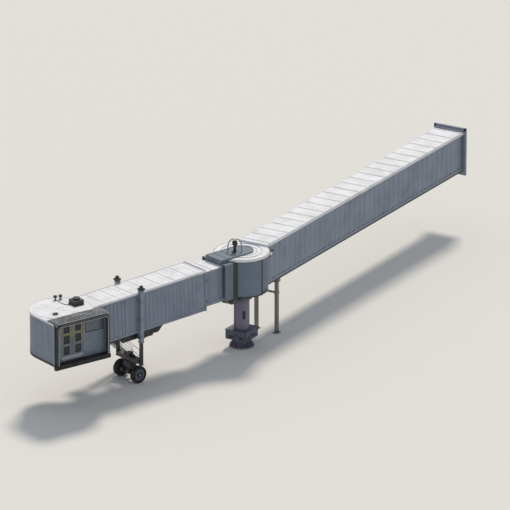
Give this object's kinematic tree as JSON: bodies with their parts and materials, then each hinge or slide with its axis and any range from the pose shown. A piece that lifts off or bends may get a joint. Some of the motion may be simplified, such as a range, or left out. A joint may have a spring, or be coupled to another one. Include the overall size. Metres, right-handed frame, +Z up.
{
  "type": "jet bridge, scale model at 1:2",
  "caption": "Passenger boarding bridge as a 1:2 scale model: ribbed fixed walkway, round rotunda on a column, telescoping tunnel on a wheeled lift, and a turning cab.",
  "frame": {"origin": "centre of the rotunda column's foot flange, on the ground", "axes": "+X along the fixed walkway towards the terminal, +Z up"},
  "size_m": [23.3547, 4.5418, 3.813],
  "materials": {
    "column_paint": "satin grey paint",
    "frame_paint": "matt dark grey paint",
    "roof_paint": "matt white paint",
    "panel_paint": "satin light grey paint",
    "black_paint": "satin black paint",
    "tyre_rubber": "worn black rubber",
    "door_paint": "satin white paint",
    "tinted_glass": "dark tinted glass",
    "blue_grey_paint": "satin blue grey paint",
    "canopy_fabric": "coated black fabric",
    "bumper_rubber": "matt black rubber"
  },
  "bodies": {
    "base": {"rotunda_column": "column_paint", "column_cabinet": "frame_paint", "rotunda_floor": "frame_paint", "rotunda_roof": "roof_paint", "rotunda_curtain_left": "panel_paint", "rotunda_curtain_right": "panel_paint", "walkway_floor": "frame_paint", "walkway_left_wall": "panel_paint", "walkway_right_wall": "panel_paint", "walkway_roof": "roof_paint", "walkway_guide_posts": "black_paint", "walkway_lamp": "black_paint", "terminal_frame": "panel_paint", "walkway_trestle": "column_paint"},
    "swing_frame": {"slew_frame": "frame_paint", "swing_portal": "black_paint", "swing_hood": "panel_paint", "hood_cable_post": "black_paint", "swing_curtain_left": "panel_paint", "swing_curtain_right": "panel_paint"},
    "inner_tunnel": {"inner_floor": "frame_paint", "inner_left_wall": "panel_paint", "inner_right_wall": "panel_paint", "inner_roof": "roof_paint"},
    "outer_tunnel": {"outer_floor": "frame_paint", "outer_left_wall": "panel_paint", "outer_right_wall": "panel_paint", "outer_roof": "roof_paint", "outer_collar": "panel_paint", "lift_tubes": "panel_paint", "lift_caps": "black_paint", "undercarriage": "black_paint", "service_door": "frame_paint", "cable_tray": "panel_paint", "cab_turntable": "black_paint", "cab_portal": "black_paint", "cab_curtain": "panel_paint", "service_landing": "panel_paint"},
    "stair": {"service_stair": "panel_paint"},
    "lift": {"lift_legs": "black_paint", "lower_crossbeam": "black_paint"},
    "bogie": {"bogie_frame": "black_paint"},
    "wheel_left": {"left_wheel": "tyre_rubber"},
    "wheel_right": {"right_wheel": "tyre_rubber"},
    "cab": {"cab_floor": "frame_paint", "cab_roof": "roof_paint", "cab_back_wall": "panel_paint", "cab_left_wall": "panel_paint", "cab_right_wall": "panel_paint", "cab_doors": "door_paint", "cab_glass": "tinted_glass", "cab_front_panel": "blue_grey_paint", "cab_front_frame": "black_paint", "cab_canopy": "canopy_fabric", "cab_bumper": "bumper_rubber", "cab_roof_unit": "black_paint", "cab_roof_lamps": "black_paint"}
  },
  "joints": [
    {"name": "rotunda_swing", "type": "hinge", "parent": "base", "child": "swing_frame", "pos_m": [0, 0, 1.85], "axis": [0, 0, 1], "range_deg": [-23, 61]},
    {"name": "tunnel_pitch", "type": "hinge", "parent": "swing_frame", "child": "inner_tunnel", "pos_m": [-0.95497, 0.32882, 1.92], "axis": [0.3256, 0.9455, 0], "range_deg": [-3.5, 4.5]},
    {"name": "tunnel_extend", "type": "slide", "parent": "inner_tunnel", "child": "outer_tunnel", "axis": [-0.9451, 0.3254, -0.0297], "range_m": [-0.15, 2.4]},
    {"name": "lift_slide", "type": "slide", "parent": "outer_tunnel", "child": "lift", "axis": [0, 0, -1], "range_m": [-0.24, 0.31]},
    {"name": "bogie_steer", "type": "hinge", "parent": "lift", "child": "bogie", "pos_m": [-4.62359, 1.59203, 0.65], "axis": [0, 0, 1], "range_deg": [-90, 90]},
    {"name": "left_wheel_spin", "type": "hinge", "parent": "bogie", "child": "wheel_left", "pos_m": [-4.77009, 1.16654, 0.29], "axis": [-0.3256, -0.9455, 0], "continuous": true},
    {"name": "right_wheel_spin", "type": "hinge", "parent": "bogie", "child": "wheel_right", "pos_m": [-4.47708, 2.01751, 0.29], "axis": [-0.3256, -0.9455, 0], "continuous": true},
    {"name": "stair_pivot", "type": "hinge", "parent": "outer_tunnel", "child": "stair", "pos_m": [-4.99864, 2.6836, 1.7042], "axis": [0.3256, 0.9455, 0], "range_deg": [-5.6, 7.2]},
    {"name": "cab_swing", "type": "hinge", "parent": "outer_tunnel", "child": "cab", "pos_m": [-7.37032, 2.5378, 1.804], "axis": [0, 0, 1], "range_deg": [-91, 4]}
  ],
  "couplings": [
    {"joint": "lift_slide", "follows": "tunnel_pitch", "m_per_rad": 3.88},
    {"joint": "stair_pivot", "follows": "tunnel_pitch", "ratio": 1.565}
  ]
}
